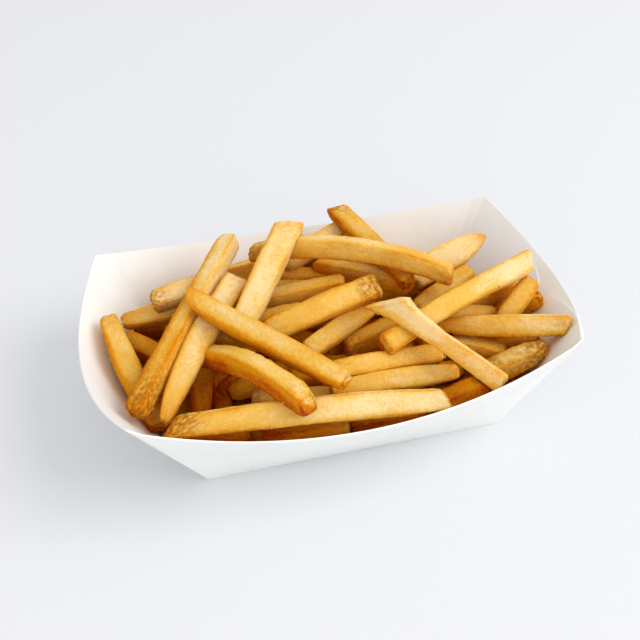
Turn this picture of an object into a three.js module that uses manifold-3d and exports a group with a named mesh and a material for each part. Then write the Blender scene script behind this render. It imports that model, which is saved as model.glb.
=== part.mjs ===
// French fries heaped in an open paper food tray.
// Millimetres, +Z up. The origin is the centre of the tray's underside, +X runs along the tray's
// length, and -Y is its front.

import * as THREE from 'three';
import { ParametricGeometry } from 'three/addons/geometries/ParametricGeometry.js';
import { mergeVertices } from 'three/addons/utils/BufferGeometryUtils.js';
import Module from 'manifold-3d';

// The tray, folded from one sheet of paperboard.
const board = 0.6;
const baseHalfLength = 55;
const baseHalfWidth = 35.5;

// Each long wall's rim runs between two creases, each end wall's between two peaks. Half way
// along, a rim bows out and dips.
const longRim = { halfSpan: 76.5, reach: 53, height: 43, bow: 10, dip: 8 };
const endRim = { halfSpan: 51, reach: 81, height: 44.5, bow: 11.5, dip: 9.5 };

// The front right corner is pushed in a little, which fades out along both of its rims.
const pushedCorner = new THREE.Vector3(-3.5, 2.5, 1);

// A flap from each long wall is glued inside each end wall. It starts at the peak, leaves the
// rim after a while and slopes down to its rounded end near the middle of the end wall.
const flap = { end: 0.04, leavesRim: 0.64, drop: 0.16, foot: 0.03, roundness: 0.06 };

// Steps along each wall and each flap, and the shares of a wall's height with a row of corners.
const wallSteps = 16;
const flapSteps = 10;
const wallRows = [0, 0.33, 0.67, 1];

// The heap stays clear of the board, inside a space that is carried on up past the rim.
const clearance = 0.5;
const heapFloor = board + clearance;
const cavity = { rowsAboveRim: [1.33, 1.67], height: 90 };

// The core fills the tray to this share of the wall's height and rises to the crown.
const core = { wallShare: 0.5, shoulder: 0.6, shoulderHeight: 24, crown: 27 };

// A cut fry has eight sides, and its ends are cut a little smaller.
const fryCut = { wide: 8.2, high: 7.8, corner: 1.2, endLength: 0.9, endShare: 0.72, taperPower: 5 };

// The fries that show. `from` and `to` are the middles of the two ends. `roll` turns the cut round
// its length in degrees, `bow` lifts its middle, `sway` moves the middle sideways, and `tips` are
// the sizes of the two ends as shares of the cut. `slant` says for each end how far its face leans
// along the fry at the cut's right and upper side.
const laidFries = [
  // across the top, left half
  {
    from: [-48, 4, 48], to: [-7, -47, 44.5], wide: 9, high: 8.4, roll: -28, tips: [0.9, 0.7],
    slant: [[4.2, -5.5], [0, 0]],
  },
  { from: [-29, 39, 51], to: [-77, -32, 34], high: 8.2, roll: -14, tips: [0.9, 0.9] },
  { from: [-31, 19, 45], to: [-68, -35, 31], wide: 10.2, roll: 22, bow: 1, sway: 1.6, tips: [0.95, 0.4] },
  {
    from: [-7, 35, 55], to: [-37, -9, 41], wide: 10.6, roll: 13, tips: [1.1, 0.8],
    slant: [[2.2, 0], [0, 0]],
  },
  { from: [18, 0, 46], to: [-26, -8, 39], wide: 9.8, high: 8.8, roll: 40, bow: 1, tips: [1, 0.9] },
  { from: [-51, -4.5, 31], to: [-21, -54, 42], wide: 8.6, high: 8, roll: 2, bow: 4, tips: [0.9, 0.7] },
  // along the back
  { from: [-22, 38, 43.5], to: [48, 1, 44.5], wide: 7.8, high: 8.6, roll: 12, bow: 7, tips: [0.8, 0.9] },
  {
    from: [17, 52.5, 47.5], to: [33, 7, 40], wide: 8.6, high: 8.2, roll: -20, tips: [0.95, 0.8],
    slant: [[-2, 0], [0, 0]],
  },
  { from: [19, 49, 41.5], to: [-9, 35, 37], high: 8, roll: 30 },
  { from: [72, 28, 41], to: [37, 16, 35], wide: 12, high: 7, roll: 35, tips: [0.15, 0.9] },
  // across the top, right half
  {
    from: [80, 3.5, 43], to: [12, -27, 40], wide: 8.6, roll: 36, bow: 2, tips: [1, 0.95],
    slant: [[-2.2, 0], [0, 0]],
  },
  {
    from: [16, -15, 50.5], to: [47, -53, 36], wide: 6.4, high: 5.4, roll: -56, tips: [2, 1.15],
    slant: [[-3, 0], [0, 0]],
  },
  { from: [83, -30.5, 36.5], to: [37, -12, 32.5], high: 8.6, roll: -32, tips: [1, 0.3] },
  { from: [80, -1, 37], to: [63, -13, 29], high: 7.6, roll: 18, tips: [0.9, 0.8] },
  // along the front
  {
    from: [-66.5, -42.5, 34.6], to: [27, -53, 34], wide: 9.8, high: 8, roll: -48, bow: 1,
    slant: [[-4, 1.5], [2.2, -1]],
  },
  { from: [-9, -31, 36], to: [34, -27, 32], roll: -30 },
  { from: [-10, -38, 34], to: [38, -34, 28], roll: -35, tips: [0.6, 0.6] },
  { from: [-37, -27, 26], to: [-2, -33, 24], wide: 8, tips: [0.9, 0.8] },
  { from: [-6, -46, 24], to: [-36, -42, 22], wide: 8, tips: [1, 0.8] },
  { from: [23, -43, 20], to: [-4, -42, 18], wide: 8, high: 7.6 },
  { from: [24, -46, 25], to: [56, -30, 17], high: 8 },
  { from: [74, -31.5, 29.5], to: [46, -35, 24], wide: 8.6, high: 8.4, tips: [0.7, 0.9] },
  // at the left end
  { from: [-80, 22, 35], to: [-69, -30, 24], wide: 9.2, roll: -4, bow: 1, sway: 1.6, tips: [0.7, 0.8] },
  { from: [-63, 22, 39], to: [-35, 27, 41], high: 8, roll: -25, tips: [0.9, 0.8] },
  { from: [-75, 25, 29.5], to: [-47, 24, 33], high: 7.6, roll: -30, tips: [0.6, 0.8] },
  { from: [-75, 20, 25.5], to: [-58, 1, 24.5], wide: 8, high: 7.6, roll: -20 },
  { from: [-49, 1, 24], to: [-54, -23, 18], high: 8 },
  { from: [-43, 1, 19], to: [-46, -23, 12], high: 8 },
  { from: [-62, -6, 13], to: [-30, 4, 13] },
  { from: [-66, -27, 20], to: [-39, -37, 18] },
  // in the gaps of the top layer
  { from: [10, 15, 38], to: [-24, 19, 33], high: 8.2, tips: [0.9, 0.8] },
  { from: [17, 2, 36], to: [-14, -17, 35], wide: 8.8, roll: 32 },
  { from: [-62, 27, 25], to: [-44, 21, 28] },
  { from: [3, 34, 35], to: [35, 9.5, 37], high: 8, roll: 10, tips: [0.8, 0.95] },
  { from: [-12, 35, 31], to: [10, 28, 32] },
  { from: [-36, 3, 35], to: [-8, 8, 34] },
  { from: [-54, 10, 33], to: [-30, -8, 33] },
  { from: [-20, -20, 25], to: [14, -12, 23] },
  { from: [2, -13, 30], to: [30, -6, 33], high: 8 },
  { from: [60, -26, 25], to: [42, -16, 27] },
  { from: [65, -4, 27], to: [43, -5, 31] },
  { from: [62, 17, 33], to: [34, 1, 31], roll: 20 },
  { from: [78, 10, 28], to: [53, 2, 28], wide: 7.8 },
  { from: [82.5, -5, 32], to: [67, 2, 22], wide: 7.8 },
  { from: [73, -25, 26], to: [50, -13, 21] },
  { from: [30, -12, 28], to: [60, 8, 20] },
  // down the back of the heap
  { from: [-52, 40, 30], to: [2, 46, 33], high: 8, roll: 20 },
  { from: [60, 32, 24], to: [8, 43, 27], high: 8, roll: -15 },
  { from: [-30, 41, 25], to: [-4, 23, 32.5], roll: 10 },
  { from: [28, 40, 33], to: [54, 18, 31] },
];

const plainTips = [0.8, 0.8];
const squareEnds = [[0, 0], [0, 0]];

// ---------------------------------------------------------------- walls

// How far a rim point is along its bow: 1 half way, 0 at both ends.
function bowShare(along) {
  return 1 - along * along;
}

// Walls in order round the tray, seen from above: front, right, back, left. `turn` is the sign of
// the wall's outward axis, and `along` runs from -1 to 1 in +X or +Y on every wall.
const walls = {
  front: { long: true, turn: -1 },
  right: { long: false, turn: 1 },
  back: { long: true, turn: 1 },
  left: { long: false, turn: -1 },
};

function basePoint(wall, along) {
  return wall.long
    ? new THREE.Vector3(along * baseHalfLength, wall.turn * baseHalfWidth, 0)
    : new THREE.Vector3(wall.turn * baseHalfLength, along * baseHalfWidth, 0);
}

// How much of the pushed corner's shift a rim point takes.
function cornerShare(wall, along) {
  if (wall === walls.front) {
    return ((1 + along) / 2) ** 2;
  }
  if (wall === walls.right) {
    return ((1 - along) / 2) ** 2;
  }
  return 0;
}

function rimPoint(wall, along) {
  const rim = wall.long ? longRim : endRim;
  const reach = wall.turn * (rim.reach + rim.bow * bowShare(along));
  const height = rim.height - rim.dip * bowShare(along);
  const span = along * rim.halfSpan;
  const point = wall.long
    ? new THREE.Vector3(span, reach, height)
    : new THREE.Vector3(reach, span, height);
  return point.addScaledVector(pushedCorner, cornerShare(wall, along));
}

// A point on a wall's outer face: `rise` is 0 at the base crease and 1 at the rim.
function wallPoint(wall, along, rise) {
  return basePoint(wall, along).lerp(rimPoint(wall, along), rise);
}

// The direction into the tray, square to the wall's face.
function inwardNormal(wall, along) {
  const step = 0.01;
  const upTheWall = rimPoint(wall, along).sub(basePoint(wall, along));
  const alongTheRim = rimPoint(wall, along + step).sub(rimPoint(wall, along - step));
  const normal = upTheWall.cross(alongTheRim).normalize();
  const inward = wall.long ? -wall.turn * normal.y : -wall.turn * normal.x;
  return inward < 0 ? normal.negate() : normal;
}

// The stations round the tray, each a straight line up the wall from base to rim. `along` runs
// backwards on the back and left walls, so that the stations go round counterclockwise.
function stationsRound(steps) {
  const stations = [];
  for (const wall of Object.values(walls)) {
    const forward = wall === walls.front || wall === walls.right;
    for (let step = 0; step <= steps; step += 1) {
      const share = (2 * step) / steps - 1;
      const along = forward ? share : -share;
      stations.push({
        base: basePoint(wall, along),
        rim: rimPoint(wall, along),
        normal: inwardNormal(wall, along),
      });
    }
  }
  return stations;
}

// A station's line moved into the tray by a depth. Its foot is at the given height, where the
// leaning face at that depth passes through it. `share` is 0 at the foot and 1 at the rim.
function insetPoint(station, depth, footHeight, share) {
  const { base, rim, normal } = station;
  const inset = (depth - footHeight * normal.z) / Math.hypot(normal.x, normal.y);
  const foot = new THREE.Vector3(
    THREE.MathUtils.clamp(base.x, inset - baseHalfLength, baseHalfLength - inset),
    THREE.MathUtils.clamp(base.y, inset - baseHalfWidth, baseHalfWidth - inset),
    footHeight,
  );
  return foot.lerp(rim.clone().addScaledVector(normal, depth), share);
}

// ---------------------------------------------------------------- closed meshes

// A closed surface that goes round the stations: `rings` is a list of functions from a station to a
// point, and the first and last ring shrink to one point each.
function surfaceRound(stations, rings) {
  const surface = (around, across, target) => {
    const station = stations[Math.round(around * stations.length) % stations.length];
    target.copy(rings[Math.round(across * (rings.length - 1))](station));
  };
  return closedMesh(new ParametricGeometry(surface, stations.length, rings.length - 1));
}

// A box whose corners and steps are moved to new places. The three numbers given to `place` run
// from 0 to 1 along X, Y and Z of the box.
function shapedBox(steps, place) {
  const box = new THREE.BoxGeometry(1, 1, 1, ...steps);
  const position = box.attributes.position;
  for (let index = 0; index < position.count; index += 1) {
    const point = new THREE.Vector3().fromBufferAttribute(position, index).addScalar(0.5);
    position.setXYZ(index, ...place(point.x, point.y, point.z).toArray());
  }
  return closedMesh(box);
}

// Shared corners are merged and triangles with no area are dropped.
function closedMesh(geometry) {
  geometry.deleteAttribute('normal');
  geometry.deleteAttribute('uv');
  const merged = mergeVertices(geometry, 1e-4);
  const corners = merged.index.array;
  const kept = [];
  for (let start = 0; start < corners.length; start += 3) {
    const [a, b, c] = corners.slice(start, start + 3);
    if (a !== b && b !== c && c !== a) {
      kept.push(a, b, c);
    }
  }
  merged.setIndex(kept);
  return merged;
}

// ---------------------------------------------------------------- joining and cutting

const wasm = await Module();
wasm.setup();

// A closed mesh as a solid. One that came out with its faces pointing in is turned round.
function asSolid(geometry) {
  const vertProperties = new Float32Array(geometry.attributes.position.array);
  const triVerts = new Uint32Array(geometry.index.array);
  const solid = new wasm.Manifold(new wasm.Mesh({ numProp: 3, vertProperties, triVerts }));
  if (solid.volume() > 0) {
    return solid;
  }
  return new wasm.Manifold(new wasm.Mesh({ numProp: 3, vertProperties, triVerts: triVerts.reverse() }));
}

function asGeometry(solid) {
  const mesh = solid.getMesh();
  const geometry = new THREE.BufferGeometry();
  geometry.setAttribute('position', new THREE.BufferAttribute(mesh.vertProperties, 3));
  geometry.setIndex(new THREE.BufferAttribute(mesh.triVerts, 1));
  geometry.computeVertexNormals();
  return geometry;
}

function joined(solids) {
  return solids.reduce((whole, solid) => whole.add(solid));
}

// The largest connected skin of a solid, which drops loose scraps and fills sealed hollows.
function largestSkin(solid) {
  return solid.decompose().reduce((best, part) => (part.volume() > best.volume() ? part : best));
}

// ---------------------------------------------------------------- tray

// The height share of a flap's upper edge.
function flapTop(along) {
  const share = Math.max(0, flap.leavesRim - along) / flap.leavesRim;
  const rounding = Math.max(0, flap.end + flap.roundness - along) / flap.roundness;
  return 1 - flap.drop * share ** 1.5 - flap.roundness * rounding * rounding;
}

// One glued flap: `side` is 1 at the back of an end wall and -1 at its front. It is sunk half into
// the wall behind it.
function flapSolid(wall, side) {
  return asSolid(shapedBox([flapSteps, 1, 1], (span, depth, height) => {
    const share = THREE.MathUtils.lerp(flap.end, 1, span);
    const rise = THREE.MathUtils.lerp(flap.foot, flapTop(share), height);
    const along = side * share;
    const inward = board * (0.5 + depth * 1.5);
    return wallPoint(wall, along, rise).addScaledVector(inwardNormal(wall, along), inward);
  }));
}

function traySolid() {
  const outerRings = wallRows.map((rise) => (station) => station.base.clone().lerp(station.rim, rise));
  const innerRings = wallRows.map((rise) => (station) => insetPoint(station, board, board, rise));
  const shell = asSolid(surfaceRound(stationsRound(wallSteps), [
    () => new THREE.Vector3(0, 0, 0),
    ...outerRings,
    ...innerRings.reverse(),
    () => new THREE.Vector3(0, 0, board),
  ]));
  const flaps = [walls.left, walls.right].flatMap((wall) => [flapSolid(wall, -1), flapSolid(wall, 1)]);
  return largestSkin(joined([shell, ...flaps]));
}

// ---------------------------------------------------------------- fries

// How far out the heap may reach at a share of the wall's height, clear of wall and flaps.
function heapEdge(station, share) {
  return insetPoint(station, 2 * board + clearance, heapFloor, share);
}

// The space inside the tray that the heap may fill, carried up past the rim.
function cavitySolid() {
  return asSolid(surfaceRound(stationsRound(wallSteps), [
    () => new THREE.Vector3(0, 0, heapFloor),
    ...[...wallRows, ...cavity.rowsAboveRim].map((share) => (station) => heapEdge(station, share)),
    () => new THREE.Vector3(0, 0, cavity.height),
  ]));
}

// The plain fill under the fries that show.
function coreSolid() {
  const edge = (station) => heapEdge(station, core.wallShare);
  return asSolid(surfaceRound(stationsRound(wallSteps), [
    () => new THREE.Vector3(0, 0, heapFloor),
    (station) => heapEdge(station, wallRows[0]),
    (station) => heapEdge(station, wallRows[1]),
    edge,
    (station) => edge(station).multiplyScalar(core.shoulder).setZ(core.shoulderHeight),
    () => new THREE.Vector3(0, 0, core.crown),
  ]));
}

// The eight corners of a fry's cut, wide and high as given.
function cutOutline(wide, high) {
  const x = wide / 2;
  const y = high / 2;
  const corner = Math.min(fryCut.corner, x / 2, y / 2);
  return [
    [x, y - corner], [x - corner, y], [corner - x, y], [-x, y - corner],
    [-x, corner - y], [corner - x, -y], [x - corner, -y], [x, corner - y],
  ];
}

// Where the cuts along a fry are, as shares of its length.
function cutShares(length) {
  const end = fryCut.endLength / length;
  return [0, end, 0.2, 0.4, 0.6, 0.8, 1 - end, 1];
}

function frySolid(fry) {
  const from = new THREE.Vector3(...fry.from);
  const to = new THREE.Vector3(...fry.to);
  const length = from.distanceTo(to);
  const forward = to.clone().sub(from).normalize();
  const side = forward.clone().cross(new THREE.Vector3(0, 0, 1)).normalize();
  const up = side.clone().cross(forward);
  const roll = THREE.MathUtils.degToRad(fry.roll ?? 0);
  const across = side.clone().applyAxisAngle(forward, -roll);
  const above = up.clone().applyAxisAngle(forward, -roll);
  const tips = fry.tips ?? plainTips;
  const slant = fry.slant ?? squareEnds;
  const wide = fry.wide ?? fryCut.wide;
  const high = fry.high ?? fryCut.high;
  const shares = cutShares(length);
  const leanAt = (end, x, y) => (2 * x * slant[end][0]) / wide + (2 * y * slant[end][1]) / high;

  const cuts = shares.map((share, index) => {
    const arch = 4 * share * (1 - share);
    const middle = from.clone().lerp(to, share);
    middle.addScaledVector(up, arch * (fry.bow ?? 0)).addScaledVector(side, arch * (fry.sway ?? 0));
    const fromTaper = (1 - tips[0]) * (1 - share) ** fryCut.taperPower;
    const toTaper = (1 - tips[1]) * share ** fryCut.taperPower;
    const atEnd = index === 0 || index === shares.length - 1;
    const size = (1 - fromTaper - toTaper) * (atEnd ? fryCut.endShare : 1);
    return cutOutline(size * wide, size * high).map(([x, y]) => {
      const lean = THREE.MathUtils.lerp(leanAt(0, x, y), leanAt(1, x, y), share);
      return middle.clone()
        .addScaledVector(across, x)
        .addScaledVector(above, y)
        .addScaledVector(forward, lean);
    });
  });

  const rings = cuts.map((cut) => (corner) => cut[corner]);
  return asSolid(surfaceRound([...cuts[0].keys()], [() => from, ...rings, () => to]));
}

function friesSolid() {
  const heap = joined([coreSolid(), ...laidFries.map(frySolid)]);
  return largestSkin(heap.intersect(cavitySolid()));
}

// ---------------------------------------------------------------- the filled tray

const paper = new THREE.MeshStandardMaterial({ color: '#f4f4f2', roughness: 0.7, metalness: 0 });
const friedPotato = new THREE.MeshStandardMaterial({ color: '#e2a650', roughness: 0.55, metalness: 0 });

function part(name, solid, material) {
  const mesh = new THREE.Mesh(asGeometry(solid), material);
  mesh.name = name;
  return mesh;
}

const filledTray = new THREE.Group();
filledTray.add(part('tray', traySolid(), paper));
filledTray.add(part('fries', friesSolid(), friedPotato));

export default filledTray;
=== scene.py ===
import math
import random

import bmesh
import bpy
from mathutils import Matrix, Vector, noise
from mathutils.bvhtree import BVHTree


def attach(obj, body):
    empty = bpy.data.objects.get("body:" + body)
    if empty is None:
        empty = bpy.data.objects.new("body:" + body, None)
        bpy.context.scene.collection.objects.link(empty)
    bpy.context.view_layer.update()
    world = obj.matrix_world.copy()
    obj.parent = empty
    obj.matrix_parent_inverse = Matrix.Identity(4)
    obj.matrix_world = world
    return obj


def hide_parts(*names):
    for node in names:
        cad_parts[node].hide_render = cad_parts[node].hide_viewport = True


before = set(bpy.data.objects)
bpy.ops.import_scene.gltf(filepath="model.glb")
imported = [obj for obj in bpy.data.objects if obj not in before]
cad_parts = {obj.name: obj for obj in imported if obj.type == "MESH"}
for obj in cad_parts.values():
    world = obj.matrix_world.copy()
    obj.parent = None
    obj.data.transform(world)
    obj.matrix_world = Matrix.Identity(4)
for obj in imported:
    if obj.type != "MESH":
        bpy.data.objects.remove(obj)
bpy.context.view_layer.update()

mm = 0.001                                   # places and sizes in the dictionaries are in millimetres
up = Vector((0, 0, 1))


# camera, light and floor

camera = {
    "place": (-82.81, -306.65, 279.60),
    "forward": (0.19677, 0.76638, -0.61151),
    "roll": -0.687,
    "fieldOfView": 33.09,
    "nearest": 10,
    "farthest": 20000,
}

light = {
    "sky": (0.99, 0.98, 0.98),
    "skyStrength": 0.75,
    "key": {"place": (1320, -630, 1290), "size": 1500, "power": 13.9},
    "fill": {"place": (-200, -1000, 300), "size": 900, "power": 1.7},
    "lampTint": (1.0, 0.99, 0.98),
    "aim": (0, 0, 20),
    "viewTransform": "Standard",
    "look": "Medium High Contrast",
}

floor = {"halfSize": 4000, "tint": (0.75, 0.765, 0.79), "roughness": 0.7, "specular": 0.2}


def makeCamera():
    data = bpy.data.cameras.new("studioCamera")
    data.angle = math.radians(camera["fieldOfView"])
    data.clip_start = camera["nearest"] * mm
    data.clip_end = camera["farthest"] * mm
    obj = bpy.data.objects.new("studioCamera", data)
    bpy.context.scene.collection.objects.link(obj)
    turn = Vector(camera["forward"]).to_track_quat("-Z", "Y").to_matrix()
    roll = Matrix.Rotation(math.radians(camera["roll"]), 3, "Z")
    obj.matrix_world = Matrix.Translation(Vector(camera["place"]) * mm) @ (turn @ roll).to_4x4()
    bpy.context.scene.camera = obj


def makeLamp(name, lamp):
    data = bpy.data.lights.new(name, "AREA")
    data.shape = "DISK"
    data.size = lamp["size"] * mm
    data.energy = lamp["power"]
    data.color = light["lampTint"]
    obj = bpy.data.objects.new(name, data)
    bpy.context.scene.collection.objects.link(obj)
    place = Vector(lamp["place"]) * mm
    aim = Vector(light["aim"]) * mm
    turn = (aim - place).to_track_quat("-Z", "Y").to_matrix()
    obj.matrix_world = Matrix.Translation(place) @ turn.to_4x4()


def makeSky():
    world = bpy.data.worlds.new("studioSky")
    world.use_nodes = True
    sky = world.node_tree.nodes["Background"]
    sky.inputs["Color"].default_value = (*light["sky"], 1)
    sky.inputs["Strength"].default_value = light["skyStrength"]
    bpy.context.scene.world = world
    bpy.context.scene.view_settings.view_transform = light["viewTransform"]
    bpy.context.scene.view_settings.look = light["look"]


def newMaterial(name):
    material = bpy.data.materials.new(name)
    material.use_nodes = True
    nodes = material.node_tree.nodes
    return material, nodes, material.node_tree.links, nodes["Principled BSDF"]


def pieceFrom(bm, name, material):
    mesh = bpy.data.meshes.new(name)
    bm.to_mesh(mesh)
    bm.free()
    mesh.shade_smooth()
    mesh.materials.append(material)
    obj = bpy.data.objects.new(name, mesh)
    bpy.context.scene.collection.objects.link(obj)
    return obj


def joinInto(whole, part):
    # adds a finished part to a mesh that holds many
    mesh = bpy.data.meshes.new("part")
    part.to_mesh(mesh)
    part.free()
    whole.from_mesh(mesh)
    bpy.data.meshes.remove(mesh)


def makeFloor():
    material, _, _, shader = newMaterial("paleTable")
    shader.inputs["Base Color"].default_value = (*floor["tint"], 1)
    shader.inputs["Roughness"].default_value = floor["roughness"]
    shader.inputs["Specular IOR Level"].default_value = floor["specular"]
    bm = bmesh.new()
    bmesh.ops.create_grid(bm, x_segments=1, y_segments=1, size=floor["halfSize"] * mm)
    obj = pieceFrom(bm, "tableTop", material)


makeCamera()
makeSky()
makeLamp("keyLamp", light["key"])
makeLamp("fillLamp", light["fill"])
makeFloor()
print("camera, light and floor are set")


# nodes that both finishes use

def addNode(nodes, kind, **settings):
    node = nodes.new(kind)
    for name, value in settings.items():
        setattr(node, name, value)
    return node


def setInputs(node, values):
    for name, value in values.items():
        node.inputs[name].default_value = value
    return node


def feed(links, socket, value):
    # a socket is linked, a number or a colour is set
    if isinstance(value, bpy.types.NodeSocket):
        links.new(value, socket)
    elif isinstance(value, (int, float)):
        socket.default_value = value
    else:
        socket.default_value = (*value, 1)


def mixColour(nodes, links, share, first, second, blend="MIX"):
    node = addNode(nodes, "ShaderNodeMix", data_type="RGBA", blend_type=blend)
    for socket, value in ((node.inputs[0], share), (node.inputs[6], first), (node.inputs[7], second)):
        feed(links, socket, value)
    return node.outputs[2]


def remap(nodes, links, source, low, high, toLow=0.0, toHigh=1.0):
    node = addNode(nodes, "ShaderNodeMapRange", interpolation_type="SMOOTHSTEP")
    links.new(source, node.inputs["Value"])
    setInputs(node, {"From Min": low, "From Max": high, "To Min": toLow, "To Max": toHigh})
    return node.outputs["Result"]


def calc(nodes, links, operation, first, second):
    node = addNode(nodes, "ShaderNodeMath", operation=operation)
    feed(links, node.inputs[0], first)
    feed(links, node.inputs[1], second)
    return node.outputs[0]


def attribute(nodes, name, output="Fac"):
    return addNode(nodes, "ShaderNodeAttribute", attribute_name=name).outputs[output]


def bump(nodes, links, height, strength, depth, over=None):
    node = setInputs(addNode(nodes, "ShaderNodeBump"), {"Strength": strength, "Distance": depth * mm})
    links.new(height, node.inputs["Height"])
    if over:
        links.new(over, node.inputs["Normal"])
    return node.outputs["Normal"]


def makeGrainGroup():
    # two noises over a surface: fine grain for height and slower patches for colour
    group = bpy.data.node_groups.new("surfaceGrain", "ShaderNodeTree")
    for name, kind in (("Point", "NodeSocketVector"), ("Fine Scale", "NodeSocketFloat"),
                       ("Patch Scale", "NodeSocketFloat"), ("Detail", "NodeSocketFloat")):
        group.interface.new_socket(name=name, in_out="INPUT", socket_type=kind)
    for name in ("Fine", "Patches"):
        group.interface.new_socket(name=name, in_out="OUTPUT", socket_type="NodeSocketFloat")
    inside = group.nodes.new("NodeGroupInput")
    out = group.nodes.new("NodeGroupOutput")
    for name, scale in (("Fine", "Fine Scale"), ("Patches", "Patch Scale")):
        grain = group.nodes.new("ShaderNodeTexNoise")
        group.links.new(inside.outputs["Point"], grain.inputs["Vector"])
        group.links.new(inside.outputs[scale], grain.inputs["Scale"])
        group.links.new(inside.outputs["Detail"], grain.inputs["Detail"])
        group.links.new(grain.outputs["Fac"], out.inputs[name])
    return group


grainGroup = makeGrainGroup()


def addGrain(nodes, links, point, scales):
    grain = setInputs(addNode(nodes, "ShaderNodeGroup", node_tree=grainGroup), scales)
    links.new(point, grain.inputs["Point"])
    return grain.outputs


# the paper tray

tray = {
    "board": 0.6,
    "baseHalfLength": 55,
    "baseHalfWidth": 35.5,
    "longRim": {"halfSpan": 76.5, "reach": 53, "height": 43, "bow": 10, "dip": 8},
    "endRim": {"halfSpan": 51, "reach": 81, "height": 44.5, "bow": 11.5, "dip": 9.5},
    "pushedCorner": (-3.5, 2.5, 1),
    "steps": 56,
    "rows": 22,
    "facetSteps": 4,
    "weld": 0.01,
    "foldAngle": 8,
    "foldRound": 0.7,
    "foldSegments": 3,
    "sharpAngle": 38,
    # along a wall, shares of its half length from the middle; up a wall, shares of its height
    "flap": {
        "end": 0.04,
        "crease": 0.985,
        "leavesRim": 0.64,
        "drop": 0.16,
        "dropPower": 1.5,
        "foot": 0.04,
        "roundness": 0.06,
        "belowRim": 0.004,
        "loose": 0.35,
        "gap": 0.28,                         # share of the board's thickness
        "columns": 30,
        "rows": 20,
        "walls": {"left": {"lift": 0, "thickness": 0.3}, "right": {"lift": 0.5, "thickness": 0.8}},
    },
}

paper = {
    "tint": (0.90, 0.91, 0.89),
    "dim": 0.965,
    # warmer where fries lie near: partly oil from them, partly painted bounce light from them
    "oilAndBounce": (0.98, 0.88, 0.66),
    "toOilAndBounce": (0.1, 0.85),
    "toDim": (0.35, 0.65),
    "roughness": (0.3, 0.7, 0.57, 0.67),
    "bump": (0.12, 0.2),                     # strength and depth
    "grain": {"Fine Scale": 900, "Patch Scale": 60, "Detail": 4},
}

# whether a wall is one of the long ones, and which way it faces
walls = {
    "front": (True, -1),
    "right": (False, 1),
    "back": (True, 1),
    "left": (False, -1),
}


def basePoint(wall, along):
    isLong, turn = walls[wall]
    if isLong:
        return Vector((along * tray["baseHalfLength"], turn * tray["baseHalfWidth"], 0))
    return Vector((turn * tray["baseHalfLength"], along * tray["baseHalfWidth"], 0))


def rimPoint(wall, along):
    isLong, turn = walls[wall]
    rim = tray["longRim"] if isLong else tray["endRim"]
    bow = 1 - along * along
    reach = turn * (rim["reach"] + rim["bow"] * bow)
    height = rim["height"] - rim["dip"] * bow
    span = along * rim["halfSpan"]
    point = Vector((span, reach, height)) if isLong else Vector((reach, span, height))
    pushed = {"front": ((1 + along) / 2) ** 2, "right": ((1 - along) / 2) ** 2}.get(wall, 0)
    return point + Vector(tray["pushedCorner"]) * pushed


def wallPoint(wall, along, rise):
    return basePoint(wall, along).lerp(rimPoint(wall, along), rise)


def inwardNormal(wall, along):
    step = 0.01
    isLong, turn = walls[wall]
    slope = rimPoint(wall, along) - basePoint(wall, along)
    rim = rimPoint(wall, along + step) - rimPoint(wall, along - step)
    normal = slope.cross(rim).normalized()
    inward = -turn * (normal.y if isLong else normal.x)
    return -normal if inward < 0 else normal


def mappedGrid(bm, columns, rows, place):
    # a flat grid whose corners run from 0 to 1 both ways, moved to a new place
    made = bmesh.ops.create_grid(bm, x_segments=columns, y_segments=rows, size=0.5)
    for vert in made["verts"]:
        vert.co = place(vert.co.x + 0.5, vert.co.y + 0.5) * mm


def addWall(bm, wall):
    mappedGrid(bm, tray["steps"], tray["rows"], lambda x, y: wallPoint(wall, 2 * x - 1, y))


def addCornerFacet(bm, longWall, alongLong, endWall, alongEnd):
    # the small face between a crease of a long wall and the peak of an end wall
    def place(across, rise):
        rim = rimPoint(longWall, alongLong).lerp(rimPoint(endWall, alongEnd), across)
        return basePoint(longWall, alongLong).lerp(rim, rise)
    mappedGrid(bm, tray["facetSteps"], tray["rows"], place)


def addBase(bm):
    def place(x, y):
        return Vector(((2 * x - 1) * tray["baseHalfLength"], (2 * y - 1) * tray["baseHalfWidth"], 0))
    mappedGrid(bm, tray["steps"], tray["steps"], place)


def makeTray(material):
    bm = bmesh.new()
    for wall in walls:
        addWall(bm, wall)
    for longWall, alongEnd in (("front", -1), ("back", 1)):
        addCornerFacet(bm, longWall, -1, "left", alongEnd)
        addCornerFacet(bm, longWall, 1, "right", alongEnd)
    addBase(bm)
    bmesh.ops.remove_doubles(bm, verts=bm.verts, dist=tray["weld"] * mm)
    bmesh.ops.dissolve_degenerate(bm, edges=bm.edges, dist=tray["weld"] / 10 * mm)
    # the sheet faces outwards before it is rounded at its folds and gets its thickness
    bmesh.ops.recalc_face_normals(bm, faces=bm.faces)
    if sum(face.normal.z * face.calc_area() for face in bm.faces) > 0:
        bmesh.ops.reverse_faces(bm, faces=bm.faces)
    folds = [edge for edge in bm.edges
             if len(edge.link_faces) == 2 and edge.calc_face_angle() > math.radians(tray["foldAngle"])]
    bmesh.ops.bevel(bm, geom=folds, offset=tray["foldRound"] * mm, offset_type="OFFSET", affect="EDGES",
                    segments=tray["foldSegments"], profile=0.5, material=-1, clamp_overlap=True)
    bmesh.ops.solidify(bm, geom=bm.faces[:], thickness=tray["board"] * mm)
    addFlaps(bm)
    obj = pieceFrom(bm, "paperTray", material)
    obj.data.set_sharp_from_angle(angle=math.radians(tray["sharpAngle"]))
    return obj


def flapTop(along):
    # the flap follows the rim from the crease, then drops to a rounded end
    flap = tray["flap"]
    share = max(0.0, flap["leavesRim"] - along) / flap["leavesRim"]
    rounding = max(0.0, flap["end"] + flap["roundness"] - along) / flap["roundness"]
    return 1 - flap["drop"] * share ** flap["dropPower"] - flap["roundness"] * rounding * rounding


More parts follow.
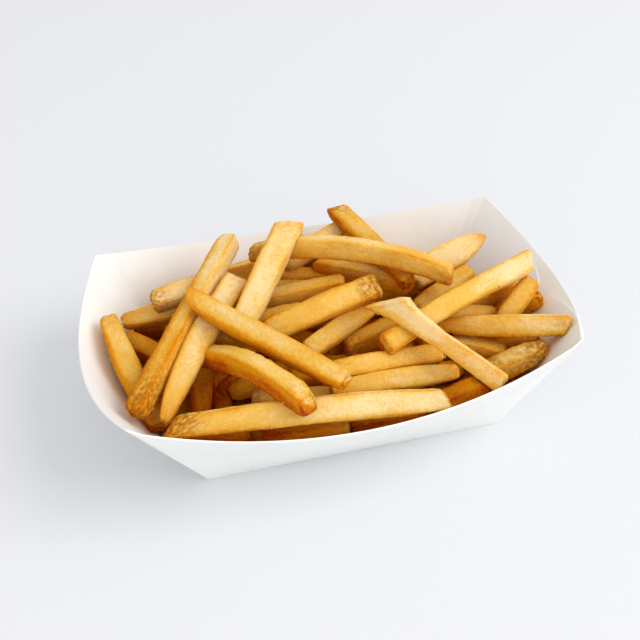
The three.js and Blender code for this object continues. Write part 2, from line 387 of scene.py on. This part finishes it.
def addFlap(bm, wall, side, sheet):
    flap = tray["flap"]

    def place(span, rise):
        along = flap["end"] + (flap["crease"] - flap["end"]) * span
        height = flap["foot"] + (flapTop(along) - flap["belowRim"] - flap["foot"]) * rise
        lift = sheet["lift"] * max(0.0, 1 - along / flap["loose"]) * rise ** 3
        clear = tray["board"] * (sheet["thickness"] + flap["gap"]) + lift
        return wallPoint(wall, side * along, height) + inwardNormal(wall, side * along) * clear

    part = bmesh.new()
    mappedGrid(part, flap["columns"], flap["rows"], place)
    facing = sum((face.normal * face.calc_area() for face in part.faces), Vector())
    if facing.dot(inwardNormal(wall, 0)) > 0:
        bmesh.ops.reverse_faces(part, faces=part.faces)
    bmesh.ops.solidify(part, geom=part.faces[:], thickness=tray["board"] * sheet["thickness"] * mm)
    joinInto(bm, part)


def addFlaps(bm):
    # a flap of each long wall is glued inside each end wall, at the right with a loose edge
    for wall, sheet in tray["flap"]["walls"].items():
        for side in (-1, 1):
            addFlap(bm, wall, side, sheet)


def paperMaterial():
    material, nodes, links, shader = newMaterial("whiteBoard")
    point = addNode(nodes, "ShaderNodeTexCoord").outputs["Object"]
    grain = addGrain(nodes, links, point, paper["grain"])
    dim = [value * paper["dim"] for value in paper["tint"]]
    patches = remap(nodes, links, grain["Patches"], *paper["toDim"])
    colour = mixColour(nodes, links, patches, paper["tint"], dim)
    # the paper near the fries is warmer, partly oil and partly painted bounce light
    oilAndBounceShare = remap(nodes, links, attribute(nodes, "nearFries"), *paper["toOilAndBounce"])
    colour = mixColour(nodes, links, oilAndBounceShare, colour, paper["oilAndBounce"])
    links.new(colour, shader.inputs["Base Color"])
    links.new(remap(nodes, links, grain["Patches"], *paper["roughness"]), shader.inputs["Roughness"])
    links.new(bump(nodes, links, grain["Fine"], *paper["bump"]), shader.inputs["Normal"])
    return material


paperTray = makeTray(paperMaterial())
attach(paperTray, "root")
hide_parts("tray")
print("paper tray is made:", len(paperTray.data.polygons), "faces")


# the fries

# what holds for every fry, unless its own row says otherwise
fryCut = {
    "wide": 8.2,
    "high": 7.8,
    "roll": 0,                               # turn of the cut in degrees
    "bow": 0,                                # lifts the middle
    "sway": 0,                               # moves the middle sideways
    "tips": (0.8, 0.8),                      # sizes of the two ends
    "slant": ((0, 0), (0, 0)),               # how far the right and upper side of each end face lean along
    "tone": 0.4,                             # from pale to dark, for the whole fry or for its two ends
    "brown": (0.15, 0.15),                   # how browned the two ends are
    "flank": 0.75,                           # darkens the sides that face away from the light
    "blisters": 0.5,
    "roughLength": 9,
    "endLength": 1.5,
    "endShare": 0.72,
    "squareness": 4.4,
    "stepLength": 1.0,
    "stepsAcross": 12,
}

frySkin = {
    "taperPower": 5,
    "wave": 0.42,
    "waveScale": 0.07,
    "ripple": 0.4,                           # share of the wave
    "rippleScale": 0.33,
    "edgeWear": 0.26,
    "wearScale": 0.55,
    "wearFrom": 0.6,                         # nearness to a corner at which the wear starts
    "sink": 0.3,
    "sinkScale": (0.12, 0.12, 0.045),
    "sinkShare": (0.55, 0.9),
    "blisterScales": (0.8, 1.5),
    "blisterShares": (0.6, 0.7),
    "blisterLevel": 0.15,
    "smoothBlisters": 0.12,                  # what is left of the blisters away from the browned ends
    "capUneven": 0.5,
    "capScale": 0.4,
    "capDome": 0.35,
    "capDomeShare": 0.6,
    "capBlisters": 0.9,
    "capBrown": 0.25,
    "toneScale": 0.06,
    "toneDrift": 0.2,
    "unlit": (0.45, -0.35),                  # how far lit and unlit sides face the light
    "lowShadeFrom": 35,                          # heights between which painted shade darkens a fry that lies low in the heap
    "lowShadeTo": 17,
    "lowShadeTone": 0.6,
    "edgeFrom": 0.4,                         # nearness to a corner at which the edge colour starts
    "capEdgeFrom": 0.6,
}

towardsKey = (Vector(light["key"]["place"]) - Vector(light["aim"])).normalized()

# each runs from the middle of one end to the middle of the other
laidFries = {
    "diagLong": dict(start=(-48, 4, 48), end=(-7, -47, 44.5), wide=9, high=8.4, roll=-28, tips=(0.9, 0.7),
                     slant=((4.2, -5.5), (0, 0)), tone=0.25, flank=0.95),
    "leftLong": dict(start=(-29, 39, 51), end=(-77, -32, 34), high=8.2, roll=-14, tips=(0.9, 0.9),
                     tone=(-0.1, 0.85), brown=(0.1, 1.0), roughLength=26, blisters=0.3, endLength=4.5,
                     endShare=0.6),
    "leftLight": dict(start=(-31, 19, 45), end=(-68, -35, 31), wide=10.2, roll=22, bow=1, sway=1.6,
                      tips=(0.95, 0.4), tone=(-0.05, 0.3)),
    "upperLight": dict(start=(-7, 35, 55), end=(-37, -9, 41), wide=10.6, roll=13, tips=(1.1, 0.8),
                       slant=((2.2, 0), (0, 0)), tone=0.03),
    "centreUp": dict(start=(18, 0, 46), end=(-26, -8, 39), wide=9.8, high=8.8, roll=40, bow=1, tips=(1, 0.9),
                     tone=0.45, brown=(1.4, 0.1), roughLength=12),
    "midDiagonal": dict(start=(-51, -4.5, 31), end=(-21.8, -52.7, 42.6), wide=9.2, high=8.8, roll=2, bow=6,
                        tips=(0.9, 1.05), slant=((0, 0), (0, -1.5)), tone=(0.5, 0.2), flank=1.2, squareness=3,
                        brown=(0.2, 0.3), endLength=4.5, endShare=0.6),
    "backLong": dict(start=(-22, 38, 43.5), end=(48, 1, 44.5), wide=7.8, high=8.6, roll=12, bow=7,
                     tips=(0.8, 0.9), tone=0.33, flank=0.28, brown=(0.6, 0.2)),
    "backTipA": dict(start=(17, 52.5, 47.5), end=(33, 7, 40), wide=8.6, high=8.2, roll=-20, tips=(0.95, 0.8),
                     slant=((-2, 0), (0, 0)), tone=0.5, brown=(0.8, 0.0)),
    "backTipB": dict(start=(19, 49, 41.5), end=(-9, 35, 37), high=8, roll=30, tone=0.15),
    "rightBackTip": dict(start=(72, 28, 41), end=(37, 16, 35), wide=12, high=7, roll=35, tips=(0.15, 0.9),
                         tone=-0.05),
    "rightLong": dict(start=(80, 3.5, 43), end=(12, -27, 40), wide=8.6, roll=36, bow=2, tips=(1, 0.95),
                      slant=((-2.2, 0), (0, 0)), tone=(-0.05, 0.6), flank=1.0),
    "crossRight": dict(start=(16, -15, 50.5), end=(47, -53, 36), wide=6.4, high=5.4, roll=-56, tips=(2, 1.15),
                       slant=((-3, 0), (0, 0)), tone=0.0, flank=0.35),
    "rightFlat": dict(start=(81.4, -30, 37.2), end=(37, -12, 32.5), high=8.6, roll=-32, tips=(0.92, 0.3),
                      slant=((0.7, -1.6), (0, 0)), tone=(-0.05, 0.4), brown=(0.3, 0.0), roughLength=12,
                      endLength=0.8, endShare=0.85),
    "rightSmall": dict(start=(80, -1, 37), end=(63, -13, 29), high=7.6, roll=18, tips=(0.9, 0.8), tone=0.45),
    "frontLong": dict(start=(-66.5, -42.5, 34.6), end=(27, -53, 34), wide=9.8, high=8, roll=-48, bow=1,
                      slant=((-4, 1.5), (2.2, -1)), tone=(0.4, 0.0), brown=(1.0, 0.2), blisters=0.8,
                      roughLength=14),
    "midRight": dict(start=(-9, -31, 36), end=(34, -27, 32), roll=-30, tone=0.4),
    "midRightLow": dict(start=(-10, -38, 34), end=(38, -34, 28), roll=-35, tips=(0.6, 0.6), tone=0.3,
                        brown=(0.0, 0.4)),
    "knob": dict(start=(-36.2, -27.6, 25.6), end=(-2, -33, 24), wide=8, tips=(0.9, 0.8), tone=0.1,
                 brown=(0.7, 0.2), blisters=0.9, roughLength=7),
    "frontStub": dict(start=(-6, -46, 24), end=(-36, -42, 22), wide=8, tips=(1, 0.8), tone=(0.15, 1.3),
                      brown=(0.1, 0.2)),
    "frontDeep": dict(start=(23, -43, 20), end=(-4, -42, 18), wide=8, high=7.6, tone=(0.7, 1.0)),
    "frontRightFill": dict(start=(24, -46, 25), end=(56, -30, 17), high=8, tone=0.85),
    "rightCraggy": dict(start=(73, -31.2, 30), end=(46, -35, 24), wide=8.6, high=8.2, tips=(0.62, 0.9),
                        tone=0.25, brown=(1.0, 0.8), blisters=0.85, roughLength=20),
    "leftEdge": dict(start=(-80, 22, 35), end=(-69, -30, 24), wide=9.2, roll=-4, bow=1, sway=1.6,
                     tips=(0.7, 0.8), tone=(0.3, 0.55), brown=(0.4, 0.3)),
    "leftStub": dict(start=(-63, 22, 39), end=(-35, 27, 41), high=8, roll=-25, tips=(0.9, 0.8), tone=0.0,
                     brown=(0.7, 0.1)),
    "leftBack": dict(start=(-75, 25, 29.5), end=(-47, 24, 33), high=7.6, roll=-30, tips=(0.6, 0.8), tone=0.3),
    "leftDim": dict(start=(-75, 20, 25.5), end=(-58, 1, 24.5), wide=8, high=7.6, roll=-20, tone=0.6),
    "uprightA": dict(start=(-49, 1, 24), end=(-54, -23, 18), high=8, tone=0.9),
    "uprightB": dict(start=(-43, 1, 19), end=(-46, -23, 12), high=8, tone=0.7),
    "leftLow": dict(start=(-62, -6, 13), end=(-30, 4, 13), tone=0.6),
    "frontLeftLow": dict(start=(-66, -27, 20), end=(-39, -37, 18), tone=0.55),
}

# fries that show only in the gaps between these, then ends that close the holes and the back of the heap
gapFries = {
    "centreBack": dict(start=(10, 15, 38), end=(-24, 19, 33), high=8.2, tips=(0.9, 0.8), tone=0.4),
    "centreLow": dict(start=(17, 2, 36), end=(-14, -17, 35), wide=8.8, roll=32, tone=0.35),
    "leftDimTwo": dict(start=(-62, 27, 25), end=(-44, 21, 28), tone=0.6, brown=(0.8, 0.2)),
    "underBackLong": dict(start=(3, 34, 35), end=(35, 9.5, 37), high=8, roll=10, tips=(0.8, 0.95),
                          tone=(0.7, 0.1), brown=(0.1, 0.5)),
    "backBrown": dict(start=(-12, 35, 31), end=(10, 28, 32), tone=0.8),
    "underCentre": dict(start=(-36, 3, 35), end=(-8, 8, 34), tone=0.5),
    "underDiag": dict(start=(-54, 10, 33), end=(-30, -8, 33), tone=0.55),
    "midUnder": dict(start=(-20, -20, 25), end=(14, -12, 23), tone=0.6),
    "underCross": dict(start=(2, -13, 30), end=(30, -6, 33), high=8, tone=0.6, brown=(0.7, 0.0)),
    "rightPeek": dict(start=(60, -26, 25), end=(42, -16, 27), tone=0.4),
    "rightPale": dict(start=(65, -4.5, 26), end=(43, -5.5, 30), tone=0.3),
    "behindRight": dict(start=(62, 17, 33), end=(34, 1, 31), roll=20, tone=0.5),
    "rightShade": dict(start=(78, 10, 28), end=(53, 2, 28), wide=7.8, tone=0.6),
    "rightTiny": dict(start=(82.5, -5, 32), end=(67, 2, 22), wide=7.8, tone=0.5),
    "rightUnder": dict(start=(73, -25, 26), end=(50, -13, 21), tone=0.5),
    "gapRight": dict(start=(30, -12, 28), end=(60, 8, 20), tone=0.6),
    "backA": dict(start=(-52, 40, 30), end=(2, 46, 33), high=8, roll=20, tone=0.4),
    "backB": dict(start=(60, 32, 24), end=(8, 43, 27), high=8, roll=-15, tone=0.45),
    "backSlant": dict(start=(-30, 41, 25), end=(-4, 23, 32.5), roll=10, tone=0.5),
    "backShort": dict(start=(28, 40, 33), end=(54, 18, 31), tone=0.4),
    "leftFill": dict(start=(-71, 28.4, 25), end=(-48, 24, 23), wide=7, high=7.4, tone=0.9),
    "backFill": dict(start=(-2, 45, 31), end=(26, 40, 31), high=8, tone=0.8),
    "rightFill": dict(start=(76, -19, 26.5), end=(52, -14, 24), wide=7, high=6, tone=0.6),
    "backLow": dict(start=(-46, 43, 21), end=(8, 44, 22), tone=0.5),
    "backLowRight": dict(start=(62, 35, 19), end=(16, 43, 21), roll=20, tone=0.6),
    "cornerBack": dict(start=(-60.5, 37.5, 21), end=(-34, 42, 22), wide=8, high=7.6, tone=0.5),
    "cornerFront": dict(start=(-61, -34.5, 15), end=(-38, -38, 15.5), wide=8, high=7.6, tone=0.7),
    "backLowLeft": dict(start=(-63.5, 29.5, 17.5), end=(-34, 37, 18), tone=0.6),
}

gapCut = {"stepLength": 1.4, "stepsAcross": 8}

# the fries under the ones that show, in loose crossing layers
buriedFries = {
    "seed": 41,
    # for each layer its height, its share of the rims' reach and its turn
    "layers": ((11, 0.62, -0.3), (17, 0.66, 0.5), (22, 0.64, -0.3)),
    "perLayer": 15,
    "length": (34, 58),
    "turn": 0.6,
    "rise": 1.5,
    "tilt": 3,
    "margin": 6,
    "roll": 40,
    "tone": (0.5, 0.9),
    "cut": {"stepLength": 2.6, "stepsAcross": 4},
}


def smoothStep(low, high, value):
    share = min(1.0, max(0.0, (value - low) / (high - low)))
    return share * share * (3 - 2 * share)


def newFryMesh():
    bm = bmesh.new()
    for name in ("tone", "edge", "brown"):
        bm.verts.layers.float.new(name)
    bm.verts.layers.float_vector.new("fryPoint")
    return bm


def fryLayers(bm):
    layers = {name: bm.verts.layers.float[name] for name in ("tone", "edge", "brown")}
    layers["fryPoint"] = bm.verts.layers.float_vector["fryPoint"]
    return layers


def cutCube(stepsAlong, stepsAcross):
    # a cube from -1 to 1, cut into a fine grid on every side
    bm = newFryMesh()
    bmesh.ops.create_cube(bm, size=2)
    for axis, cuts in ((2, stepsAlong - 1), (0, stepsAcross - 1), (1, stepsAcross - 1)):
        edges = [edge for edge in bm.edges
                 if abs(edge.verts[0].co[axis] - edge.verts[1].co[axis]) > 1e-4]
        bmesh.ops.subdivide_edges(bm, edges=edges, cuts=cuts, use_grid_fill=True)
    return bm


def crowded(share):
    # the same range from -1 to 1 with more steps near both ends
    return share * (1.5 - 0.5 * share * share)


def wornSquare(x, y, squareness):
    # the point of a square with worn corners, and how near a corner it is
    inside = max(abs(x), abs(y))
    if inside < 1e-6:
        return x, y, 0
    norm = (abs(x / inside) ** squareness + abs(y / inside) ** squareness) ** (1 / squareness)
    return x / norm, y / norm, min(abs(x), abs(y)) / inside


def endSize(cut, share, length):
    # fries narrow slowly to their tips and round off over the last stretch
    power = frySkin["taperPower"]
    taper = 1 - (1 - cut["tips"][0]) * (1 - share) ** power - (1 - cut["tips"][1]) * share ** power
    fromEnd = min(share, 1 - share) * length
    if fromEnd >= cut["endLength"]:
        return taper
    depth = 1 - fromEnd / cut["endLength"]
    return taper * (1 - (1 - cut["endShare"]) * (1 - math.sqrt(max(0.0, 1 - depth * depth))))


def blisterAt(local):
    scales, shares = frySkin["blisterScales"], frySkin["blisterShares"]
    return (noise.noise(local * scales[0]) * shares[0] + abs(noise.noise(local * scales[1])) * shares[1]
            - frySkin["blisterLevel"])


def skinPush(cut, local, corner, rough):
    # wavy sides, worn edges, sunken faces and blisters, which are strongest at browned ends
    wave = noise.noise(local * frySkin["waveScale"]) * frySkin["wave"]
    ripple = noise.noise(local * frySkin["rippleScale"]) * frySkin["wave"] * frySkin["ripple"]
    wear = noise.noise(local * frySkin["wearScale"]) * frySkin["edgeWear"]
    wear *= smoothStep(frySkin["wearFrom"], 1, corner)
    level, spread = frySkin["sinkShare"]
    stretched = Vector([value * scale for value, scale in zip(local, frySkin["sinkScale"])])
    sunk = level + noise.noise(stretched) * spread
    sink = frySkin["sink"] * (1 - corner ** 3) * max(0.0, sunk)
    blisters = frySkin["smoothBlisters"] + (1 - frySkin["smoothBlisters"]) * rough
    return wave + ripple + wear - sink + cut["blisters"] * blisterAt(local) * blisters


def capPush(local, z, inside):
    dome = math.copysign(frySkin["capDome"], z) * (1 - inside) * frySkin["capDomeShare"]
    return noise.noise(local * frySkin["capScale"]) * frySkin["capUneven"] - dome


def addFry(whole, seed, fry):
    cut = {**fryCut, **fry}
    draw = random.Random(seed)
    start, end = Vector(cut["start"]), Vector(cut["end"])
    length = (end - start).length
    forward = (end - start).normalized()
    side = forward.cross(up).normalized()
    lift = side.cross(forward)
    roll = math.radians(cut["roll"])
    across = side * math.cos(roll) + lift * math.sin(roll)
    above = lift * math.cos(roll) - side * math.sin(roll)
    wide, high = cut["wide"] / 2, cut["high"] / 2
    toneStart, toneEnd = cut["tone"] if isinstance(cut["tone"], tuple) else (cut["tone"], cut["tone"])
    slantStart, slantEnd = (Vector(slant) for slant in cut["slant"])
    offset = Vector([draw.uniform(0, 500) for _ in range(3)])

    bm = cutCube(max(8, round(length / cut["stepLength"])), cut["stepsAcross"])
    layers = fryLayers(bm)
    for vert in bm.verts:
        x, y, z = crowded(vert.co.x), crowded(vert.co.y), vert.co.z
        share = (z + 1) / 2
        onCap = abs(z) > 0.9999
        inside = max(abs(x), abs(y))
        local = Vector((x * wide, y * high, share * length)) + offset
        rough = max(cut["brown"][0] * smoothStep(cut["roughLength"], 1, share * length),
                    cut["brown"][1] * smoothStep(cut["roughLength"], 1, length - share * length))
        cutX, cutY, corner = wornSquare(x, y, cut["squareness"])
        size = endSize(cut, share, length)
        radial = Vector((cutX * wide * size, cutY * high * size))
        if not onCap or inside > 0.999:
            radial += radial.normalized() * skinPush(cut, local, corner, rough)
        arch = 4 * share * (1 - share)
        middle = start.lerp(end, share) + lift * (arch * cut["bow"]) + side * (arch * cut["sway"])
        place = middle + across * radial.x + above * radial.y
        # end faces are cut at a slant, a little domed and uneven
        spread = Vector((radial.x / wide, radial.y / high))
        place += forward * ((1 - share) * spread.dot(slantStart) + share * spread.dot(slantEnd))
        if onCap:
            place += forward * capPush(local, z, inside)
            place += forward * (blisterAt(local) * rough * frySkin["capBlisters"])
        vert.co = place * mm

        outward = (across * spread.x + above * spread.y).normalized()
        # the tone holds painted shade: darker on sides turned from the key lamp and on fries low in the heap
        vert[layers["tone"]] = (
            toneStart + (toneEnd - toneStart) * share
            + noise.noise(local * frySkin["toneScale"]) * frySkin["toneDrift"]
            + cut["flank"] * smoothStep(*frySkin["unlit"], outward.dot(towardsKey))
            + frySkin["lowShadeTone"] * smoothStep(frySkin["lowShadeFrom"], frySkin["lowShadeTo"], place.z))
        vert[layers["edge"]] = (smoothStep(frySkin["capEdgeFrom"], 1, inside) if onCap
                                else smoothStep(frySkin["edgeFrom"], 1, corner))
        capBrown = frySkin["capBrown"] * cut["brown"][0 if z < 0 else 1] if onCap else 0
        vert[layers["brown"]] = min(1.0, rough + capBrown)
        vert[layers["fryPoint"]] = local * mm
    joinInto(whole, bm)


def addBuriedFries(whole):
    draw = random.Random(buriedFries["seed"])
    tilt, roll = buriedFries["tilt"], buriedFries["roll"]
    for level, (height, reach, lean) in enumerate(buriedFries["layers"]):
        halfLength = tray["endRim"]["reach"] * reach
        halfWidth = tray["longRim"]["reach"] * reach
        for number in range(buriedFries["perLayer"]):
            across = (number + 0.5) / buriedFries["perLayer"] * 2 - 1
            length = draw.uniform(*buriedFries["length"])
            turn = draw.uniform(-buriedFries["turn"], buriedFries["turn"]) + lean
            half = Vector((math.cos(turn), math.sin(turn), 0)) * length / 2
            spareX = halfLength - abs(half.x) - buriedFries["margin"]
            spareY = halfWidth - abs(half.y) - buriedFries["margin"]
            middle = Vector((across * spareX, draw.uniform(-1, 1) * spareY,
                             height + draw.uniform(-buriedFries["rise"], buriedFries["rise"])))
            tip = half + Vector((0, 0, draw.uniform(-tilt, tilt)))
            addFry(whole, 1000 * (level + 1) + number, dict(
                buriedFries["cut"], start=middle + tip, end=middle - tip,
                roll=draw.uniform(-roll, roll), tone=draw.uniform(*buriedFries["tone"])))


# colours run from pale to gold, deep and buried shade as the shade value rises, which adds painted shade to
# each fry's own tone; the pairs and fours say over which range a mask runs and, in the fours, what it runs
# between
potato = {
    "pale": (0.86, 0.675, 0.36),
    "gold": (0.80, 0.495, 0.10),
    # deep amber: the own colour of darker fries, and painted shade on unlit sides and in gaps
    "deep": (0.69, 0.30, 0.006),
    # painted shade: the darkest brown, which the shade value reaches low in the heap, in gaps and on the core
    "buriedShade": (0.47, 0.085, 0.001),
    # painted bounce light: a bright orange where other fries lie close, for light passed from fry to fry
    "between": (0.86, 0.32, 0.002),
    "edge": (0.86, 0.60, 0.28),
    "brown": (0.42, 0.16, 0.014),
    "toGold": (0.0, 0.6),
    "toDeep": (0.5, 1.15),
    "toBuriedShade": (1.2, 1.9),
    "toPaintedBounce": (0.38, 0.76, 0.0, 0.62),
    "toEdge": (0.75, 1.0),
    "edgePatches": (0.35, 0.65, 0.0, 0.6),
    "brownPatches": (0.35, 0.65, 0.1, 0.95),
    "grainRange": (0.3, 0.7),
    "edgeTone": 0.26,
    # painted shade where other fries lie close
    "nearShade": 0.38,
    "patchTone": 0.16,
    "speckleTone": 0.09,
    "mealTone": 0.12,
    "roughness": (0.3, 0.7, 0.4, 0.62),
    "deepRoughness": (0.3, 0.95, 0.0, 0.2),
    "specular": 0.13,
    "subsurface": 0.4,
    "subsurfaceRadius": (1.0, 0.5, 0.16),
    "subsurfaceDepth": 4,
    "stretch": (1, 1, 0.5),
    "patches": {"Fine Scale": 1500, "Patch Scale": 150, "Detail": 4},
    "speckle": {"Fine Scale": 1700, "Patch Scale": 600, "Detail": 3},
    "mealBump": (0.75, 0.3),                 # strength and depth
    "blisterBump": (0.65, 0.5),
}


def addPotatoShade(nodes, links, patches, speckle):
    # tone, a wide gradient towards the edges, painted shade where other fries lie near, soft patches and fine
    # mealy specks
    shade = attribute(nodes, "tone")
    for name, depth in (("edge", potato["edgeTone"]), ("nearFries", potato["nearShade"])):
        darker = calc(nodes, links, "MULTIPLY", attribute(nodes, name), depth)
        shade = calc(nodes, links, "ADD", shade, darker)
    for source, depth in ((patches["Patches"], potato["patchTone"]),
                          (speckle["Patches"], potato["speckleTone"]),
                          (speckle["Fine"], potato["mealTone"])):
        grain = remap(nodes, links, source, *potato["grainRange"], -depth, depth)
        shade = calc(nodes, links, "ADD", shade, grain)
    return shade


def addPotatoColour(nodes, links, shade, patches, speckle):
    gold = remap(nodes, links, shade, *potato["toGold"])
    colour = mixColour(nodes, links, gold, potato["pale"], potato["gold"])
    deep = remap(nodes, links, shade, *potato["toDeep"])
    colour = mixColour(nodes, links, deep, colour, potato["deep"])
    between = remap(nodes, links, attribute(nodes, "nearFries"), *potato["toPaintedBounce"])
    colour = mixColour(nodes, links, between, colour, potato["between"])
    buriedShade = remap(nodes, links, shade, *potato["toBuriedShade"])
    colour = mixColour(nodes, links, buriedShade, colour, potato["buriedShade"])
    worn = calc(nodes, links, "MULTIPLY", remap(nodes, links, attribute(nodes, "edge"), *potato["toEdge"]),
                remap(nodes, links, patches["Patches"], *potato["edgePatches"]))
    colour = mixColour(nodes, links, worn, colour, potato["edge"], blend="MULTIPLY")
    browned = calc(nodes, links, "MULTIPLY", attribute(nodes, "brown"),
                   remap(nodes, links, speckle["Patches"], *potato["brownPatches"]))
    return mixColour(nodes, links, browned, colour, potato["brown"])


def potatoMaterial():
    material, nodes, links, shader = newMaterial("friedPotato")
    point = attribute(nodes, "fryPoint", "Vector")
    stretch = setInputs(addNode(nodes, "ShaderNodeMapping"), {"Scale": potato["stretch"]})
    links.new(point, stretch.inputs["Vector"])
    patches = addGrain(nodes, links, stretch.outputs["Vector"], potato["patches"])
    speckle = addGrain(nodes, links, point, potato["speckle"])
    shade = addPotatoShade(nodes, links, patches, speckle)
    links.new(addPotatoColour(nodes, links, shade, patches, speckle), shader.inputs["Base Color"])
    rough = calc(nodes, links, "ADD", remap(nodes, links, speckle["Fine"], *potato["roughness"]),
                 remap(nodes, links, shade, *potato["deepRoughness"]))
    links.new(rough, shader.inputs["Roughness"])
    meal = bump(nodes, links, speckle["Fine"], *potato["mealBump"])
    blisters = bump(nodes, links, speckle["Patches"], *potato["blisterBump"], over=meal)
    links.new(blisters, shader.inputs["Normal"])
    setInputs(shader, {
        "Specular IOR Level": potato["specular"],
        "Subsurface Weight": potato["subsurface"],
        "Subsurface Radius": potato["subsurfaceRadius"],
        "Subsurface Scale": potato["subsurfaceDepth"] * mm,
    })
    return material


friedPotato = potatoMaterial()

laid = newFryMesh()
for number, fry in enumerate(laidFries.values()):
    addFry(laid, number, fry)
topFries = pieceFrom(laid, "topFries", friedPotato)
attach(topFries, "root")
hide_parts("fries")
print("laid fries are made:", len(topFries.data.polygons), "faces")

lower = newFryMesh()
for number, fry in enumerate(gapFries.values()):
    addFry(lower, 100 + number, {**fry, **gapCut})
addBuriedFries(lower)
lowerFries = pieceFrom(lower, "lowerFries", friedPotato)
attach(lowerFries, "root")
print("lower fries are made:", len(lowerFries.data.polygons), "faces")


# fries are darker and more orange where others lie close to them, which is painted shade and painted bounce
# light; the paper there is warmer, partly from their oil and partly painted bounce light
nearness = {"fries": 11, "paper": 19, "start": 0.35, "lean": 0.9}


def addNearness(piece, heap, reach):
    # a value at each vertex for how near the fries are that it faces
    lean = nearness["lean"]
    values = piece.data.attributes.new("nearFries", "FLOAT", "POINT").data
    for vert in piece.data.vertices:
        normal = vert.normal
        side = normal.orthogonal().normalized()
        other = normal.cross(side)
        rays = (normal, normal + side * lean, normal - side * lean,
                normal + other * lean, normal - other * lean)
        origin = vert.co + normal * nearness["start"] * mm
        near = 0.0
        for ray in rays:
            distance = heap.ray_cast(origin, ray.normalized(), reach * mm)[3]
            if distance is not None:
                near += 1 / len(rays) * (1 - distance / (reach * mm))
        values[vert.index].value = near


def heapTree():
    whole = bmesh.new()
    whole.from_mesh(topFries.data)
    whole.from_mesh(lowerFries.data)
    tree = BVHTree.FromBMesh(whole)
    whole.free()
    return tree


heap = heapTree()
addNearness(topFries, heap, nearness["fries"])
addNearness(lowerFries, heap, nearness["fries"])
addNearness(paperTray, heap, nearness["paper"])
# the nearness values now carry the painted shade of the gaps
print("gaps are browned")


# fried crumbs that cling where fries meet
crumb = {
    "seed": 8,
    "count": 90,
    "radius": (0.3, 0.75),
    "nearness": (0.22, 0.5),
    "lowest": 24,
    "upward": 0.1,
    "lump": 0.5,
    "lumpScale": 1.6,
    "proud": 0.3,
    "tone": (0.5, 1.3),
    "brown": 0.6,
}


def makeCrumbs(piece, material):
    draw = random.Random(crumb["seed"])
    near = piece.data.attributes["nearFries"].data
    low, high = crumb["nearness"]
    places = [vert for vert in piece.data.vertices
              if vert.normal.z > crumb["upward"] and vert.co.z > crumb["lowest"] * mm
              and low < near[vert.index].value < high]
    whole = newFryMesh()
    for vert in draw.sample(places, crumb["count"]):
        part = newFryMesh()
        layers = fryLayers(part)
        radius = draw.uniform(*crumb["radius"])
        bmesh.ops.create_icosphere(part, subdivisions=2, radius=radius)
        offset = Vector((draw.uniform(0, 90), 0, 0))
        tone = draw.uniform(*crumb["tone"])
        for point in part.verts:
            point.co *= 1 + noise.noise(point.co * crumb["lumpScale"] + offset) * crumb["lump"]
            point.co = vert.co + (point.co + vert.normal * radius * crumb["proud"]) * mm
            point[layers["tone"]] = tone
            point[layers["brown"]] = crumb["brown"]
            point[layers["fryPoint"]] = point.co + offset * mm
        joinInto(whole, part)
    return pieceFrom(whole, "crumbs", material)


crumbs = makeCrumbs(topFries, friedPotato)
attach(crumbs, "root")
print("crumbs are made:", len(crumbs.data.polygons), "faces")


# the core of the heap, low and dark brown, which closes what lies under all the fries; its dark colour is
# painted shade for the depths of the heap

core = {
    "floor": 1.1,
    "inset": 2.25,                           # from the tray's walls
    "rimShare": 0.5,
    "shoulder": 0.6,
    "shoulderHeight": 13,
    "crown": 15,
    "steps": 40,
    "rows": 14,
    # painted shade: the core takes the darkest colours
    "tone": 1.4,
    "brown": 1.0,
}


def wallAt(x, y, rise):
    # the point of the walls that a point of the square from -1 to 1 runs out to, and its share of the way
    out = max(abs(x), abs(y), 1e-6)
    if abs(x) >= abs(y):
        wall, along = ("right" if x > 0 else "left"), y / out
    else:
        wall, along = ("back" if y > 0 else "front"), x / out
    return wallPoint(wall, along, rise), out


def coreTop(out, wallHeight):
    # nearly flat in the middle, then up to where it meets the walls
    shoulder, shoulderHeight = core["shoulder"], core["shoulderHeight"]
    if out > shoulder:
        return shoulderHeight + (wallHeight - shoulderHeight) * (out - shoulder) / (1 - shoulder)
    return core["crown"] + (shoulderHeight - core["crown"]) * out / shoulder


def makeCore(material):
    bm = cutCube(core["rows"], core["steps"])
    layers = fryLayers(bm)
    for vert in bm.verts:
        x, y, z = vert.co
        rise = (z + 1) / 2
        edge, out = wallAt(x, y, rise * core["rimShare"])
        edge -= Vector((edge.x, edge.y, 0)).normalized() * core["inset"]
        if out > 0.999:
            height = max(edge.z, core["floor"])
        else:
            top = coreTop(out, wallAt(x, y, core["rimShare"])[0].z)
            height = core["floor"] + (top - core["floor"]) * rise
        vert.co = Vector((edge.x * out, edge.y * out, height)) * mm
        vert[layers["fryPoint"]] = vert.co
        vert[layers["tone"]] = core["tone"]
        vert[layers["brown"]] = core["brown"]
    return pieceFrom(bm, "heapCore", material)


heapCore = makeCore(friedPotato)
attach(heapCore, "root")
print("core is made:", len(heapCore.data.polygons), "faces")
